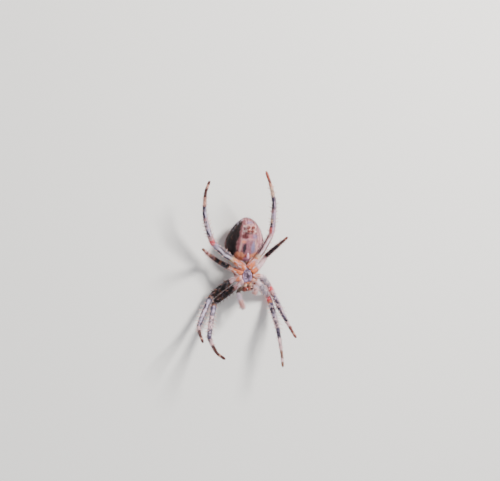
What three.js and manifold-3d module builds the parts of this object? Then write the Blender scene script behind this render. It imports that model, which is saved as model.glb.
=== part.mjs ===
// Adult female orb weaver spider, life size, lying on its back with the legs held as in a web.
// Millimetres.  +X is the spider's right, +Y is toward the tail, +Z is up (the belly side).
// The working origin is the middle of the breastplate's surface; the group is moved at the end
// so that its origin is the middle of its footprint box, on the floor.
import * as THREE from "three";
import { mergeVertices } from "three/addons/utils/BufferGeometryUtils.js";
import Module from "manifold-3d";

const wasm = await Module();
wasm.setup();

// ---- sizes -------------------------------------------------------------------------------
const FLOOR = -5.2;              // floor, below the breastplate's surface
const GAP = 0.02;                // clearance where two parts meet
const HEAD_YAW = 6;              // degrees the fore body is turned on the pedicel
const TAIL_YAW = -3;             // degrees the abdomen is turned on the pedicel
const PEDICEL_Y = 2.75;          // where it turns
const UNDER = -1.0;              // underside of the carapace, where the coxae lie

// length of each piece, legs I to IV: femur, patella + tibia, metatarsus, tarsus
const LENGTHS = [
  [6.3, 7.8, 5.3, 2.3],
  [5.8, 6.8, 4.7, 2.1],
  [3.9, 4.2, 2.7, 1.4],
  [5.5, 6.2, 4.5, 2.1],
];
const PATELLA = 0.3;             // share of patella + tibia that is patella
const BOW = { femur: 0.16, tibia: 0.14, metatarsus: 0.12 };    // how far each piece arches
// thickness of each leg: coxa, femur at its thickest, patella, tibia, metatarsus, tarsus
const THICK = [
  [1.3, 1.34, 1.08, 1.04, 0.74, 0.54],
  [1.28, 1.34, 1.06, 1.0, 0.72, 0.54],
  [1.26, 1.02, 0.84, 0.8, 0.62, 0.52],
  [1.5, 1.22, 1.12, 0.98, 0.76, 0.56],
];
// thickness along each piece: share of its length, share of the thickness above
const COXA_FORM = [[0, 1.0], [0.25, 1.1], [0.6, 1.04], [0.8, 0.76], [1, 0.72]];
const FEMUR_FORM = [[0.1, 0.82], [0.35, 1], [0.75, 0.86]];
// far end of each coxa with its trochanter, on the right side, before the fore body is turned
const COXA_END = [
  [2.0, -1.78, -0.4],
  [2.68, -0.5, -0.4],
  [2.5, 1.15, -0.38],
  [2.2, 2.88, -0.02],
];
const COXA_Z = -0.48;            // height of the coxae beside the breastplate
const COXA_ROOT = 0.35;          // how far they start inside its edge, before the cut
// pose of each leg, degrees: heading round from +X and rise above level,
// for the femur, the tibia, the metatarsus and the tarsus
const POSE = {
  right: [
    [[324, -42], [270, 41], [273, 17], [270, 12]],
    [[328, -46], [286, 31], [274, 56], [280, 52]],
    [[42, -35], [63, 58], [80, 70], [57, 50]],
    [[60, 7], [92, 19], [111, 20], [111, 2]],
  ],
  left: [
    [[226, -41], [250, 29], [272, 60], [317, 55]],
    [[224, -34], [239, 21], [231, 68], [272, 50]],
    [[145, -34], [156, 45], [158, 59], [149, 41]],
    [[141, -9], [113, 20], [92, 16], [74, 19]],
  ],
};
// palps, before the fore body is turned: base, end of femur, end of tibia, tip
const PALP = {
  left: [[-1.14, -1.96, -0.42], [-1.8, -2.98, -1.1], [-1.9, -4.4, -0.35], [-1.5, -6.35, 0.25]],
  right: [[1.14, -1.96, -0.42], [1.6, -3.05, -0.85], [1.2, -2.6, 0.75], [0.45, -3.65, 1.55]],
};
const PALP_FORM = {
  femur: [[0, 0.52], [0.3, 0.62], [0.75, 0.62], [1, 0.58]],
  tibia: [[0, 0.58], [0.25, 0.66], [0.5, 0.64], [0.8, 0.72], [1, 0.66]],
  tarsus: [[0, 0.66], [0.3, 0.76], [0.7, 0.7], [0.92, 0.54], [1, 0.28]],
};

// breastplate outline, right half: corner by the maxilla, then the corners between the coxae
const STERNUM = [[0.64, -1.28], [0.96, -0.72], [1.0, 0.05], [0.8, 0.78], [0.18, 1.5]];
const STERNUM_RISE = [[UNDER + GAP, 1], [-0.24, 1], [-0.08, 0.93], [0, 0.7]];    // z, spread
// a point on each line that parts neighbouring coxae, reached from the corner above
const PARTING = [[1.5, -2.02], [2.3, -1.22], [2.56, 0.22], [2.36, 2.05], [0.17, 3.4]];
// lip and maxilla outlines with the middle they narrow to, and their rise
const LABIUM = [[0.36, -1.32], [0.3, -1.58], [0.16, -1.72], [-0.16, -1.72], [-0.3, -1.58], [-0.36, -1.32]];
const LABIUM_MIDDLE = [0, -1.5];
const LABIUM_RISE = [[-0.62, 1], [-0.16, 1], [-0.06, 0.78]];
const MAXILLA = [
  [0.44, -1.34], [0.62, -1.34], [0.95, -1.62], [0.9, -2.0], [0.66, -2.14], [0.3, -2.12], [0.21, -1.84],
];
const MAXILLA_MIDDLE = [0.6, -1.74];
const MAXILLA_RISE = [[-0.9, 0.96], [-0.22, 1], [-0.06, 0.88], [0.02, 0.6]];

// carapace stations: y, half width, height above its underside
const CARAPACE = [
  [-3.04, 0.62, 1.74], [-2.94, 0.9, 1.98], [-2.62, 1.12, 2.14], [-2.0, 1.3, 2.2],
  [-1.3, 1.52, 2.14], [-0.6, 1.88, 2.0], [0.1, 2.2, 1.9], [0.8, 2.3, 1.8],
  [1.4, 2.14, 1.58], [1.9, 1.78, 1.26], [2.25, 1.3, 0.86], [2.46, 0.8, 0.5],
];
const PIT = { y: 0.9, length: 0.55, width: 0.35, depth: 0.16 };    // dent behind the head region
const FACE_Y = -2.08;            // the chelicerae lie ahead of this
const FACE_Z = -2.14;            // and end at the edge of the carapace here
// chelicera stations: z, half width, half depth; and the line its middle follows
const CHELICERA = [
  [-2.12, 0.34, 0.4], [-1.9, 0.43, 0.5], [-1.45, 0.46, 0.54], [-0.95, 0.45, 0.49], [-0.45, 0.41, 0.42],
  [0.0, 0.35, 0.35], [0.16, 0.25, 0.25],
];
const CHELICERA_X = 0.47;
const CHELICERA_Y = -2.66;
const CHELICERA_SPLAY = 0.02;
// fang, folded across the chelicera's end: x, y, z, thickness
const FANG = [
  [0.7, -2.78, 0.37, 0.36], [0.52, -2.72, 0.41, 0.34], [0.32, -2.6, 0.4, 0.26], [0.12, -2.44, 0.34, 0.12],
];

// abdomen stations: y, half width, belly surface, back surface
const ABDOMEN = [
  [2.0, 0.42, -2.95, -3.7], [2.12, 0.95, -2.5, -4.05], [2.4, 1.56, -1.84, -4.42],
  [2.6, 1.9, -1.2, -4.62], [2.86, 2.26, -0.78, -4.78], [3.3, 2.74, -0.36, -4.98],
  [3.85, 3.18, -0.06, -5.14], [4.5, 3.56, 0.22, -5.26], [5.2, 3.8, 0.48, -5.32],
  [5.9, 3.9, 0.68, -5.31], [6.6, 3.76, 0.82, -5.22], [7.3, 3.5, 0.92, -5.04],
  [8.0, 3.18, 0.98, -4.78], [8.7, 2.8, 0.94, -4.42], [9.3, 2.4, 0.72, -3.98],
  [9.8, 2.02, 0.38, -3.52], [10.25, 1.6, -0.06, -3.0], [10.62, 1.16, -0.52, -2.5],
  [10.88, 0.72, -0.92, -2.08], [11.02, 0.3, -1.26, -1.72],
];
const ABDOMEN_SIDES = 28;
const ROUNDING = 0.94;           // its sections are a little squarer than ellipses
const SHOULDER = 0.1;            // and widest a little toward the belly
const PEDICEL = { from: [0, 2.1, -1.3], to: [0, 3.3, -1.3], thick: 0.62 };
const EPIGYNUM = { at: [0, 3.74, -0.14], radii: [0.5, 0.6, 0.3] };
const MOUND = { at: [0, 8.72, 0.82], radii: [1.14, 1.08, 0.36] };
const SPINNERETS = [             // right one of each pair: x, y, radius, height of its tip
  [0.4, 8.3, 0.42, 1.56],
  [0.54, 9.08, 0.45, 1.62],
];

// eyes: x, y, z, radius (right one of each pair)
const EYES = {
  anterior_median: [0.24, -3.03, -2.5, 0.17],
  posterior_median: [0.22, -2.9, -2.92, 0.17],
  anterior_lateral: [0.74, -2.98, -2.42, 0.13],
  posterior_lateral: [0.86, -2.84, -2.66, 0.13],
};
// low mounds that carry the middle four eyes and each outer pair
const EYE_MOUNDS = [
  { at: [0, -2.84, -2.68], radii: [0.42, 0.24, 0.4] },
  { at: [0.8, -2.76, -2.54], radii: [0.2, 0.2, 0.24] },
];
const SIDES = { right: 1, left: -1 };
const COLOURS = {
  brown: 0x9a6a48, plate: 0x4a3a3a, belly: 0x8a5a4c, pale: 0xb8a498,
  dark: 0x3a261e, mouth: 0x7a3a22, eye: 0x0a0808,
};

// ---- tools -------------------------------------------------------------------------------
const UP = new THREE.Vector3(0, 0, 1);
const rad = THREE.MathUtils.degToRad;
const vec = (x, y, z) => new THREE.Vector3(x, y, z);
const between = (a, b) => b.clone().sub(a).normalize();
const halfway = (a, b) => a.clone().add(b).normalize();

// unit vector of a heading and a rise
function aim([heading, rise]) {
  const level = Math.cos(rad(rise));
  return vec(level * Math.cos(rad(heading)), level * Math.sin(rad(heading)), Math.sin(rad(rise)));
}

// closed body through rings of equal length, with its end rings filled
function loft(rings) {
  const n = rings[0].length;
  const points = rings.flat().flatMap((p) => [p.x, p.y, p.z]);
  const index = [];
  for (let i = 0; i + 1 < rings.length; i++)
    for (let j = 0; j < n; j++) {
      const a = i * n + j;
      const b = i * n + ((j + 1) % n);
      index.push(a, b, b + n, a, b + n, a + n);
    }
  const last = (rings.length - 1) * n;
  for (let j = 1; j + 1 < n; j++) index.push(0, j + 1, j, last, last + j, last + j + 1);
  return outward(points, index);
}

// geometry with its faces turned to look out
function outward(points, index) {
  const at = (i) => vec(points[3 * i], points[3 * i + 1], points[3 * i + 2]);
  let volume = 0;
  for (let k = 0; k < index.length; k += 3)
    volume += at(index[k]).dot(at(index[k + 1]).cross(at(index[k + 2])));
  return buffer(points, volume < 0 ? index.reverse() : index);
}

function buffer(points, index) {
  const g = new THREE.BufferGeometry();
  g.setAttribute("position", new THREE.Float32BufferAttribute(points, 3));
  g.setIndex(index);
  return g;
}

function solid(source) {
  let g = source.clone();
  g.deleteAttribute("normal");
  g.deleteAttribute("uv");
  g = mergeVertices(g, 1e-4);
  return new wasm.Manifold(new wasm.Mesh({
    numProp: 3,
    vertProperties: new Float32Array(g.attributes.position.array),
    triVerts: new Uint32Array(g.index.array),
  }));
}

function surface(body) {
  const mesh = body.getMesh();
  return buffer(Array.from(mesh.vertProperties), Array.from(mesh.triVerts));
}

// a cutter a little larger all round, so that the cut leaves the clearance
function grown(body) {
  const { min, max } = body.boundingBox();
  const middle = min.map((v, i) => (v + max[i]) / 2);
  const scale = min.map((v, i) => 1 + (2 * GAP) / (max[i] - v));
  return body.translate(middle.map((v) => -v)).scale(scale).translate(middle);
}

function block(x0, x1, y0, y1, z0, z1) {
  const box = new THREE.BoxGeometry(x1 - x0, y1 - y0, z1 - z0);
  return solid(box.translate((x0 + x1) / 2, (y0 + y1) / 2, (z0 + z1) / 2));
}

function ball([x, y, z], [rx, ry, rz], sides = 8) {
  const sphere = new THREE.SphereGeometry(1, sides, sides - 2);
  return solid(sphere.rotateX(Math.PI / 2).scale(rx, ry, rz).translate(x, y, z));
}

// flat outline raised through heights, drawn in toward its middle at each
const raised = (outline, [mx, my], rise) =>
  solid(loft(rise.map(([z, s]) => outline.map(([x, y]) => vec(mx + (x - mx) * s, my + (y - my) * s, z)))));

// the outline moved in by a margin (convex outlines)
function inset(outline, margin) {
  const next = (i) => outline[(i + 1) % outline.length];
  const area = outline.reduce((sum, [x, y], i) => sum + x * next(i)[1] - y * next(i)[0], 0);
  const lines = outline.map(([x, y], i) => {
    const length = Math.hypot(next(i)[0] - x, next(i)[1] - y) * Math.sign(area);
    const nx = (y - next(i)[1]) / length;
    const ny = (next(i)[0] - x) / length;
    return [nx, ny, nx * x + ny * y + margin];
  });
  return lines.map(([bx, by, bc], i) => {
    const [ax, ay, ac] = lines.at(i - 1);
    const det = ax * by - ay * bx;
    return [(ac * by - ay * bc) / det, (ax * bc - ac * bx) / det];
  });
}

// A jointed limb piece: round rings along a path of {p, d} (point and thickness).  Its two ends
// lie in the planes it shares with its neighbours, each held back by half the clearance.
function limb(path, side, startNormal, endNormal, sides = 10) {
  const last = path.length - 1;
  const rings = path.map(({ p, d }, i) => {
    const along = between(path[Math.max(0, i - 1)].p, path[Math.min(last, i + 1)].p);
    const e1 = side.clone().addScaledVector(along, -side.dot(along)).normalize();
    const e2 = along.clone().cross(e1);
    const plane = i === 0 ? startNormal : i === last ? endNormal : along;
    const centre = p.clone().addScaledVector(plane, i === 0 ? GAP / 2 : i === last ? -GAP / 2 : 0);
    return Array.from({ length: sides }, (_, k) => {
      const a = (2 * Math.PI * k) / sides;
      const spoke = e1.clone().multiplyScalar(Math.cos(a)).addScaledVector(e2, Math.sin(a));
      const q = centre.clone().addScaledVector(spoke, d / 2);
      return q.addScaledVector(along, centre.clone().sub(q).dot(plane) / along.dot(plane));
    });
  });
  return loft(rings);
}

// stations of a piece from a to b that arches by bow
const stations = (a, b, bow, form) =>
  form.map(([f, d]) => ({ p: a.clone().lerp(b, f).addScaledVector(bow, 4 * f * (1 - f)), d }));

// straight round bar
function bar(a, b, startThick, endThick, sides = 10) {
  const along = between(a, b);
  return solid(limb([{ p: a, d: startThick }, { p: b, d: endThick }], vec(1, 0, 0), along, along, sides));
}

const yawed = (body, angle, y) => body.translate([0, -y, 0]).rotate([0, 0, angle]).translate([0, y, 0]);
const head = (body) => yawed(body, HEAD_YAW, 0);
const tail = (body) => yawed(body, TAIL_YAW, PEDICEL_Y);
const headPoint = (x, y, z) => vec(x, y, z).applyAxisAngle(UP, rad(HEAD_YAW));
const largest = (body) => body.decompose().sort((a, b) => b.volume() - a.volume())[0];

const REACH = 40;                // past the ends of the legs
const floorBlock = block(-REACH, REACH, -REACH, REACH, FLOOR - REACH, FLOOR);

// a piece that reaches the floor is levelled there
function resting(g) {
  g.computeBoundingBox();
  return g.boundingBox.min.z < FLOOR ? surface(solid(g).subtract(floorBlock)) : g;
}

const group = new THREE.Group();
group.name = "orb_weaver_spider";

function add(name, form, colour) {
  const g = form.isBufferGeometry ? form : surface(form);
  g.computeVertexNormals();
  const look = { color: COLOURS[colour], roughness: 0.6, metalness: 0, flatShading: true };
  const mesh = new THREE.Mesh(g, new THREE.MeshStandardMaterial(look));
  mesh.name = name;
  group.add(mesh);
}

// ---- fore body ---------------------------------------------------------------------------
// domed section of the carapace on its level underside
function dome([y, w, h], steps = 12) {
  const ring = Array.from({ length: steps + 1 }, (_, k) => {
    const a = (Math.PI * k) / steps;
    const x = w * Math.sign(Math.cos(a)) * Math.abs(Math.cos(a)) ** 0.85;
    const pit = PIT.depth * Math.exp(-(((y - PIT.y) / PIT.length) ** 2) - (x / PIT.width) ** 2);
    return vec(x, y, UNDER - (h - pit) * Math.sin(a) ** 0.8);
  });
  return [...ring, vec(0, y, UNDER)];
}

function makeCarapace() {
  let body = solid(loft(CARAPACE.map((s) => dome(s))));
  for (const { at: [x, y, z], radii } of EYE_MOUNDS)
    for (const s of x ? [1, -1] : [1]) body = body.add(ball([s * x, y, z], radii, 12));
  body = head(body.subtract(block(-3, 3, -4, FACE_Y, FACE_Z, 2)));
  for (const [pair, [x, y, z, r]] of Object.entries(EYES))
    for (const [side, s] of Object.entries(SIDES)) {
      const at = headPoint(s * x, y, z).toArray();
      body = body.subtract(ball(at, Array(3).fill(r + GAP)));
      add(`eye_${pair}_${side}`, ball(at, [r, r, r]), "eye");
    }
  add("carapace", body, "brown");
  return body;
}

function makeSternum() {
  const mirrored = STERNUM.map(([x, y]) => [-x, y]).reverse();
  add("sternum", head(raised([...STERNUM, ...mirrored], [0, 0], STERNUM_RISE)), "plate");
  add("labium", head(raised(LABIUM, LABIUM_MIDDLE, LABIUM_RISE)), "dark");
}

// maxilla, chelicera with its fang, and palp of one side; s is 1 on the right, -1 on the left
function makeMaxilla(side, s) {
  const outline = MAXILLA.map(([x, y]) => [s * x, y]);
  const body = head(raised(outline, [s * MAXILLA_MIDDLE[0], MAXILLA_MIDDLE[1]], MAXILLA_RISE));
  add(`maxilla_${side}`, body, "mouth");
  return body;
}

function makeChelicera(side, s, sides = 12) {
  const rings = CHELICERA.map(([z, rx, ry]) => Array.from({ length: sides }, (_, k) => {
    const a = (2 * Math.PI * k) / sides;
    const x = s * (CHELICERA_X + CHELICERA_SPLAY * z) + rx * Math.cos(a);
    return vec(x, CHELICERA_Y + ry * Math.sin(a), z);
  }));
  const body = head(solid(loft(rings)).trimByPlane([s, 0, 0], GAP / 2));
  add(`chelicera_${side}`, body, "mouth");
  const path = FANG.map(([x, y, z, d]) => ({ p: headPoint(s * x, y, z), d }));
  const ends = [between(path[0].p, path[1].p), between(path[2].p, path[3].p)];
  add(`fang_${side}`, limb(path, UP, ends[0], ends[1], 8), "dark");
  return body;
}

function makePalp(side, neighbours) {
  const points = PALP[side].map((a) => headPoint(...a));
  const along = [0, 1, 2].map((i) => between(points[i], points[i + 1]));
  const planes = [along[0], halfway(along[0], along[1]), halfway(along[1], along[2]), along[2]];
  const hinge = along[0].clone().cross(along[1]).normalize();
  let inTheWay = neighbours;
  Object.entries(PALP_FORM).forEach(([piece, form], i) => {
    const path = stations(points[i], points[i + 1], vec(0, 0, 0), form);
    let body = solid(limb(path, hinge, planes[i], planes[i + 1]));
    for (const other of inTheWay) body = largest(body.subtract(grown(other)));
    inTheWay = [body];
    add(`palp_${side}_${piece}`, body, "brown");
  });
}

// ---- legs --------------------------------------------------------------------------------
// coxa with its trochanter, kept to its own wedge beside the breastplate
function makeCoxa(name, n, s, hip, next, maxilla) {
  const [c0, c1] = [STERNUM[n], STERNUM[n + 1]];
  const edge = headPoint((s * (c0[0] + c1[0])) / 2, (c0[1] + c1[1]) / 2, COXA_Z);
  const along = between(edge, hip);
  const root = edge.addScaledVector(along, -COXA_ROOT);
  const path = stations(root, hip, vec(0, 0, 0), COXA_FORM.map(([f, k]) => [f, k * THICK[n][0]]));
  const across = along.clone().cross(UP).normalize();
  const away = ([x, y], [px, py]) => {
    const reach = 5 / Math.hypot(px - x, py - y);
    return [x + (px - x) * reach, y + (py - y) * reach];
  };
  const wedge = [c0, c1, away(c1, PARTING[n + 1]), away(c0, PARTING[n])].map(([x, y]) => [s * x, y]);
  const bounds = head(raised(inset(wedge, GAP / 2), [0, 0], [[UNDER + GAP, 1], [2, 1]]));
  const whole = solid(limb(path, across, along, halfway(along, next)));
  const body = whole.intersect(bounds).subtract(grown(maxilla));
  add(`${name}_coxa`, body, "brown");
  return { body, along };
}

const hindThighs = [];           // they lie against the abdomen

function makeLeg(side, s, n, maxilla) {
  const name = `leg_${n + 1}_${side}`;
  const [coxaThick, femurThick, patellaThick, tibiaThick, metaThick, tarsusThick] = THICK[n];
  const along = POSE[side][n].map(aim);
  const joints = [headPoint(s * COXA_END[n][0], COXA_END[n][1], COXA_END[n][2])];
  along.forEach((d, i) => joints.push(joints[i].clone().addScaledVector(d, LENGTHS[n][i])));
  const coxa = makeCoxa(name, n, s, joints[0], along[0], maxilla);
  const hinge = along[0].clone().cross(along[1]).normalize();
  const back = between(along[1], along[0]);        // the side that arches
  const bow = (d, by) => back.clone().addScaledVector(d, -back.dot(d)).normalize().multiplyScalar(by);
  const planes = [halfway(coxa.along, along[0]), halfway(along[0], along[1]), halfway(along[1], along[2])];
  const kneeThick = 0.96 * patellaThick;
  const ankleThick = 0.84 * tibiaThick;

  const femur = stations(joints[0], joints[1], bow(along[0], BOW.femur), [
    [0, COXA_FORM.at(-1)[1] * coxaThick], ...FEMUR_FORM.map(([f, k]) => [f, k * femurThick]), [1, kneeThick],
  ]);
  const thigh = resting(limb(femur, hinge, planes[0], planes[1]));
  if (n === 3) hindThighs.push(solid(thigh));
  add(`${name}_femur`, thigh, "pale");

  const tibia = stations(joints[1], joints[2], bow(along[1], BOW.tibia), [
    [0, kneeThick], [PATELLA / 2, patellaThick], [PATELLA, 0.9 * patellaThick],
    [PATELLA + 0.12, tibiaThick], [0.75, 0.95 * tibiaThick], [1, ankleThick],
  ]);
  add(`${name}_tibia`, resting(limb(tibia, hinge, planes[1], planes[2])), "pale");

  const metatarsus = stations(joints[2], joints[3], bow(along[2], BOW.metatarsus), [
    [0, ankleThick], [0.12, metaThick], [0.7, 0.86 * metaThick], [1, tarsusThick],
  ]);
  const tarsus = stations(joints[3], joints[4], vec(0, 0, 0), [
    [0.3, tarsusThick], [0.75, 0.96 * tarsusThick], [0.93, 0.9 * tarsusThick], [1, 0.5 * tarsusThick],
  ]);
  add(`${name}_tarsus`, limb([...metatarsus, ...tarsus], hinge, planes[2], along[3]), "pale");
  return coxa.body;
}

// ---- abdomen -----------------------------------------------------------------------------
function section([y, w, belly, back]) {
  const middle = (belly + back) / 2 + SHOULDER * Math.min(1, w / 3);
  return Array.from({ length: ABDOMEN_SIDES }, (_, k) => {
    const a = (2 * Math.PI * (k + 0.5)) / ABDOMEN_SIDES;
    const across = Math.sign(Math.cos(a)) * Math.abs(Math.cos(a)) ** ROUNDING;
    const high = Math.abs(Math.sin(a)) ** ROUNDING;
    return vec(w * across, y, middle + high * ((Math.sin(a) > 0 ? belly : back) - middle));
  });
}

function makeAbdomen(carapace) {
  let abdomen = tail(solid(loft(ABDOMEN.map(section)))).subtract(floorBlock);
  for (const thigh of hindThighs) abdomen = abdomen.subtract(grown(thigh));
  const clear = grown(abdomen);
  add("abdomen", abdomen, "belly");
  const stalk = bar(vec(...PEDICEL.from), vec(...PEDICEL.to), PEDICEL.thick, PEDICEL.thick, 12);
  add("pedicel", stalk.subtract(grown(carapace)).subtract(clear), "dark");
  add("epigynum", largest(tail(ball(EPIGYNUM.at, EPIGYNUM.radii, 12)).subtract(clear)), "dark");

  // two pairs of blunt cones that lean together on a low mound
  let cones = ball(MOUND.at, MOUND.radii, 16);
  const [, middleY, moundZ] = MOUND.at;
  for (const [x, y, r, tip] of SPINNERETS)
    for (const s of Object.values(SIDES)) {
      const end = vec(s * x * 0.82, middleY + (y - middleY) * 0.86, tip);
      cones = cones.add(bar(vec(s * x, y, moundZ - 0.2), end, 2 * r, 1.1 * r));
    }
  add("spinnerets", largest(tail(cones).subtract(clear)), "dark");
}

// ---- the whole spider --------------------------------------------------------------------
const carapace = makeCarapace();
makeSternum();
for (const [side, s] of Object.entries(SIDES)) {
  const maxilla = makeMaxilla(side, s);
  const chelicera = makeChelicera(side, s);
  const coxae = LENGTHS.map((_, n) => makeLeg(side, s, n, maxilla));
  makePalp(side, [maxilla, chelicera, coxae[0]]);
}
makeAbdomen(carapace);

// origin: middle of the footprint box, on the floor
const box = new THREE.Box3().setFromObject(group);
const centre = box.getCenter(new THREE.Vector3());
for (const mesh of group.children) mesh.geometry.translate(-centre.x, -centre.y, -box.min.z);

export default group;
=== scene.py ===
"""Looks of the orb weaver spider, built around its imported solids.

Each leg and palp gets one continuous skin, and the body's plates and the abdomen get skins of
their own, all shaped from where the solids are.  Markings are formulas that skin and hairs
share: every mesh carries its colours in the attribute TINT.  Lengths are in mm unless a
comment says otherwise, and MM turns them into metres.
"""
import math

import bpy
import numpy as np
from mathutils import Matrix, Vector


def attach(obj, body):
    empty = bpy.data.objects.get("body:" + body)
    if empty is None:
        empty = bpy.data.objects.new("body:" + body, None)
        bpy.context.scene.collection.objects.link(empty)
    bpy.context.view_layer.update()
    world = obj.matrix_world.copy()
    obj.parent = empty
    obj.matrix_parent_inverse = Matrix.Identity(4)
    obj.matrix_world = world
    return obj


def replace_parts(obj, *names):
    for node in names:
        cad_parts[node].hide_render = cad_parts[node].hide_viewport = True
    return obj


MM = 0.001
TURN = 2 * math.pi
TINT = "tint"
SIDES = {"right": 1, "left": -1}
LEGS = [f"leg_{n}_{side}" for n in (1, 2, 3, 4) for side in SIDES]

# colours as seen in sunshine, sRGB 0-255
WHITE = (240, 230, 230)
SPINE = (230, 198, 184)
CREAM = (236, 206, 200)
IVORY = (236, 204, 172)
PEACH = (220, 172, 146)
PINK = (204, 162, 154)
ROSE = (200, 154, 146)
CORAL = (218, 88, 96)
SALMON = (216, 118, 112)
RUST = (192, 116, 90)
APRICOT = (214, 146, 108)
ORANGE = (222, 136, 84)
STRAW = (222, 188, 138)
TAN = (158, 104, 70)
TAWNY = (146, 110, 90)
CINNAMON = (146, 90, 78)
UMBER = (104, 62, 54)
LILAC = (178, 169, 182)
SLATE = (112, 105, 130)
PLUM = (54, 42, 60)
ASH = (176, 167, 168)
DARK = (34, 24, 24)
SOOT = (20, 14, 15)
# in the studio's soft light they get deeper by a power, then cooler by a factor for each
# channel, and none gets brighter than the last number
DEPTH = 1.14
CAST = (1.1, 1.06, 1.2)
BRIGHTEST = 0.92


# ---- numbers ----
def linear(rgb):
    """The surface colour that looks like rgb in this scene."""
    c = np.asarray(rgb, float) / 255
    c = np.where(c <= 0.04045, c / 12.92, ((c + 0.055) / 1.055) ** 2.4)
    return np.minimum(c**DEPTH * CAST, BRIGHTEST)


def plain(rgb, like):
    """The same colour for each item of like."""
    return np.tile(linear(rgb), (len(like), 1))


def unit(v):
    v = np.asarray(v, float)
    return v / np.maximum(np.linalg.norm(v, axis=-1, keepdims=True), 1e-12)


def smooth(edge0, edge1, x):
    """0 before edge0, 1 past edge1, a soft step between; edge0 may be the greater one."""
    t = np.clip((x - edge0) / (edge1 - edge0), 0, 1)
    return t * t * (3 - 2 * t)


def band(x, start, end, soft=0.03):
    """1 between start and end, fading over soft on each side."""
    return smooth(start - soft, start + soft, x) * (1 - smooth(end - soft, end + soft, x))


def ridge(x, width):
    """1 at 0, falling off to both sides."""
    return np.exp(-((x / width) ** 2))


def mix(base, colour, amount):
    amount = np.clip(np.asarray(amount, float), 0, 1)[..., None]
    return base * (1 - amount) + linear(colour) * amount


def layered(base, *layers):
    """Lays layers over a base, in order; each is a colour and its amount from 0 to 1."""
    for colour, amount in layers:
        base = mix(base, colour, amount)
    return base


def hashed(i, j, k, seed):
    """A number from 0 to 1 for each cell, without visible order."""
    h = np.sin(i * 127.1 + j * 311.7 + k * 74.7 + seed * 53.3) * 43758.5453
    return h - np.floor(h)


def noise(p, size, seed):
    """Smooth noise from 0 to 1, with blobs of about that size."""
    q = np.asarray(p, float) / size
    cell = np.floor(q)
    f = q - cell
    f = f * f * (3 - 2 * f)
    total = 0
    for corner in np.ndindex(2, 2, 2):
        weight = np.prod(np.where(corner, f, 1 - f), axis=-1)
        total = total + weight * hashed(*(cell + corner).T, seed).T
    return total


def fractal(p, size, seed):
    """Noise with two finer layers, still from 0 to 1."""
    coarse = noise(p, size, seed) * 4
    return (coarse + noise(p, size / 2.1, seed + 1) * 2 + noise(p, size / 4.3, seed + 2)) / 7


def patches(p, size, seed, low, high):
    """Patches of about that size: 0 where the noise is under low, 1 where it is over high."""
    return smooth(low, high, fractal(p, size, seed))


def grained(colour, p, size, seed, low, more):
    """Colours made darker and lighter in fine grains, from low to low + more of themselves."""
    return colour * (low + more * fractal(p, size, seed))[:, None]


# ---- objects and nodes ----
def added(name, data):
    """A new object in the scene."""
    obj = bpy.data.objects.new(name, data)
    bpy.context.scene.collection.objects.link(obj)
    return obj


def dial(node, **values):
    """Sets inputs of a shader node, with _ for the spaces in their names."""
    for name, value in values.items():
        node.inputs[name.replace("_", " ")].default_value = value
    return node


# ---- reading the solids ----
MEETING = 0.14  # vertices of two solids nearer than this are at their joint
END_DEPTH = 0.25  # vertices within this of the farthest one are at a free end


class Solid:
    """A CAD node's vertices and triangles."""

    def __init__(self, node):
        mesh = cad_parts[node].data
        mesh.calc_loop_triangles()
        self.co = np.array([v.co[:] for v in mesh.vertices]) / MM
        self.tris = np.array([t.vertices[:] for t in mesh.loop_triangles])

    def section(self, point, normal):
        """Middle and radius of the slice across normal at a point."""
        d = (self.co - point) @ normal
        a = self.tris
        b = np.roll(a, 1, axis=1)
        crossing = (d[a] > 0) != (d[b] > 0)
        i, j = a[crossing], b[crossing]
        t = (d[i] / (d[i] - d[j]))[:, None]
        hits = self.co[i] + (self.co[j] - self.co[i]) * t
        middle = (hits.min(0) + hits.max(0)) / 2
        middle -= normal * ((middle - point) @ normal)
        return middle, np.linalg.norm(hits - middle, axis=1).mean()


def meeting(a, b):
    """Middle of the ring where two solids meet end to end."""
    gap = np.linalg.norm(a.co[:, None] - b.co[None], axis=2).min(1)
    ring = a.co[gap < MEETING]
    return (ring.min(0) + ring.max(0)) / 2


def far_end(solid, start):
    """Middle of the end of a long solid farthest from a point."""
    reach = np.linalg.norm(solid.co - start, axis=1)
    return solid.co[reach > reach.max() - END_DEPTH].mean(0)


# ---- meshes ----
EVENING = 0.6  # how far one smoothing pass moves a point to its neighbours' mean


def make_mesh(name, co, faces, tint, material):
    """A piece from points, faces (one array or several of equal rows) and a colour a point."""
    mesh = bpy.data.meshes.new(name)
    rows = faces if isinstance(faces, list) else [faces]
    loops = np.concatenate([f.ravel() for f in rows])
    sizes = np.concatenate([np.full(len(f), f.shape[1]) for f in rows])
    starts = np.concatenate([[0], np.cumsum(sizes)[:-1]])
    mesh.vertices.add(len(co))
    mesh.vertices.foreach_set("co", (co * MM).astype(np.float32).ravel())
    mesh.loops.add(len(loops))
    mesh.loops.foreach_set("vertex_index", loops.astype(np.int32))
    mesh.polygons.add(len(sizes))
    mesh.polygons.foreach_set("loop_start", starts.astype(np.int32))
    mesh.polygons.foreach_set("use_smooth", np.full(len(sizes), True))
    mesh.update(calc_edges=True)
    layer = mesh.color_attributes.new(TINT, "FLOAT_COLOR", "POINT")
    rgba = np.concatenate([np.clip(tint, 0, 1), np.ones((len(co), 1))], axis=1)
    layer.data.foreach_set("color", rgba.astype(np.float32).ravel())
    mesh.validate()
    mesh.materials.append(material)
    obj = added(name, mesh)
    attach(obj, "root")
    return obj


def grid_faces(rows, sides):
    """Quads of a closed-round grid of rings."""
    i = np.arange(rows - 1)[:, None] * sides
    j = np.arange(sides)[None]
    k = (j + 1) % sides
    return np.stack([i + j, i + k, i + sides + k, i + sides + j], axis=2).reshape(-1, 4)


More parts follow.
